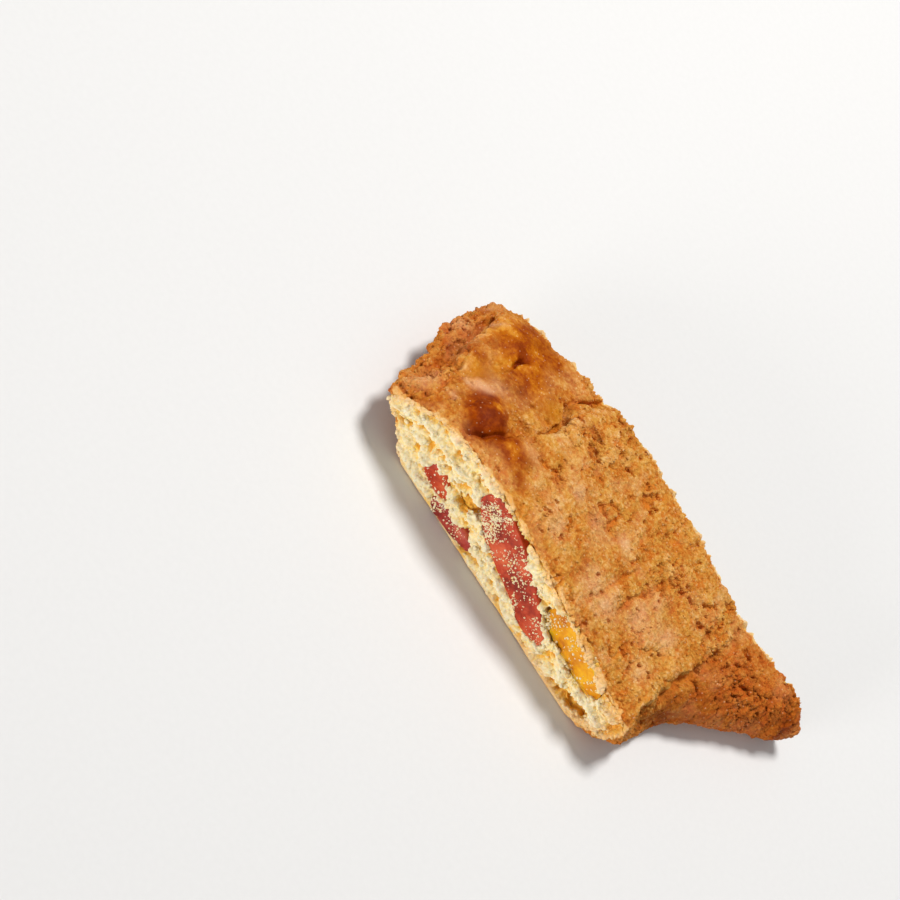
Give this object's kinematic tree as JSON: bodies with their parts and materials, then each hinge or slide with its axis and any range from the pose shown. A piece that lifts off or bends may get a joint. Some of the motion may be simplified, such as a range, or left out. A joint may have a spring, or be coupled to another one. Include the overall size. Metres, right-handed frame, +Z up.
{
  "type": "fruit biscotti slice",
  "caption": "Thick slice cut across a flat, domed cookie log: browned cracked crust, pale open crumb on both cut faces, and strips of red and yellow candied fruit running through it.",
  "frame": {"origin": "on the flat base, below the middle of the bounding box", "axes": "+X along the slice towards its spread end, +Y from the front cut face to the back one, +Z up from the base"},
  "size_m": [0.096, 0.0402, 0.0178],
  "materials": {
    "baked_dough": "dry baked crust, granular and matte, with pale crumb on the cut faces",
    "red_candied_fruit": "soft gloss, dusted with crumbs",
    "dark_red_candied_fruit": "soft gloss, dusted with crumbs",
    "orange_red_candied_fruit": "soft gloss, dusted with crumbs",
    "yellow_candied_fruit": "soft gloss, translucent"
  },
  "bodies": {
    "root": {"cookie_body": "baked_dough", "red_jelly_strip": "red_candied_fruit", "low_red_strip": "dark_red_candied_fruit", "small_red_piece": "orange_red_candied_fruit", "yellow_jelly_strip": "yellow_candied_fruit"}
  },
  "joints": []
}
